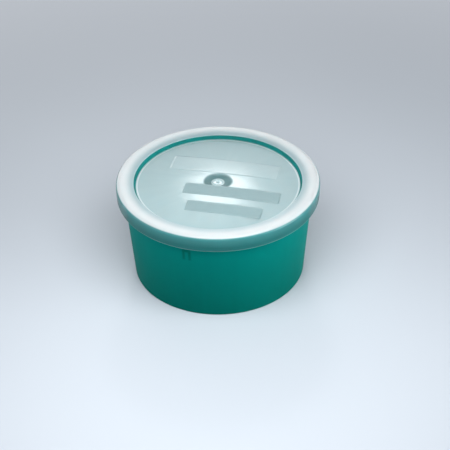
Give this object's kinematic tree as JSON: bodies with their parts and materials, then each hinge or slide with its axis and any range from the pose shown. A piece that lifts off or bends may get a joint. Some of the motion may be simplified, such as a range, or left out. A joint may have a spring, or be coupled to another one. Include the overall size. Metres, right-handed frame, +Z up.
{
  "type": "denture case",
  "caption": "Round drafted cup with a translucent snap lid, for soaking and storing dentures.",
  "frame": {"origin": "centre of the ring that the cup stands on, at table height", "axes": "+Z up along the axis of the cup and lid; +X along the writing strips on the lid, read from -Y"},
  "size_m": [0.1, 0.1, 0.0513],
  "materials": {
    "cup_plastic": "satin moulded, slightly translucent teal",
    "lid_plastic": "glossy moulded, milky and translucent, with matt writing strips"
  },
  "bodies": {
    "cup_body": {"cup": "cup_plastic"},
    "lid_body": {"lid": "lid_plastic"}
  },
  "joints": [
    {"name": "lid_lift", "type": "slide", "parent": "cup_body", "child": "lid_body", "axis": [0, 0, 1], "range_m": [0, 0.04]}
  ]
}
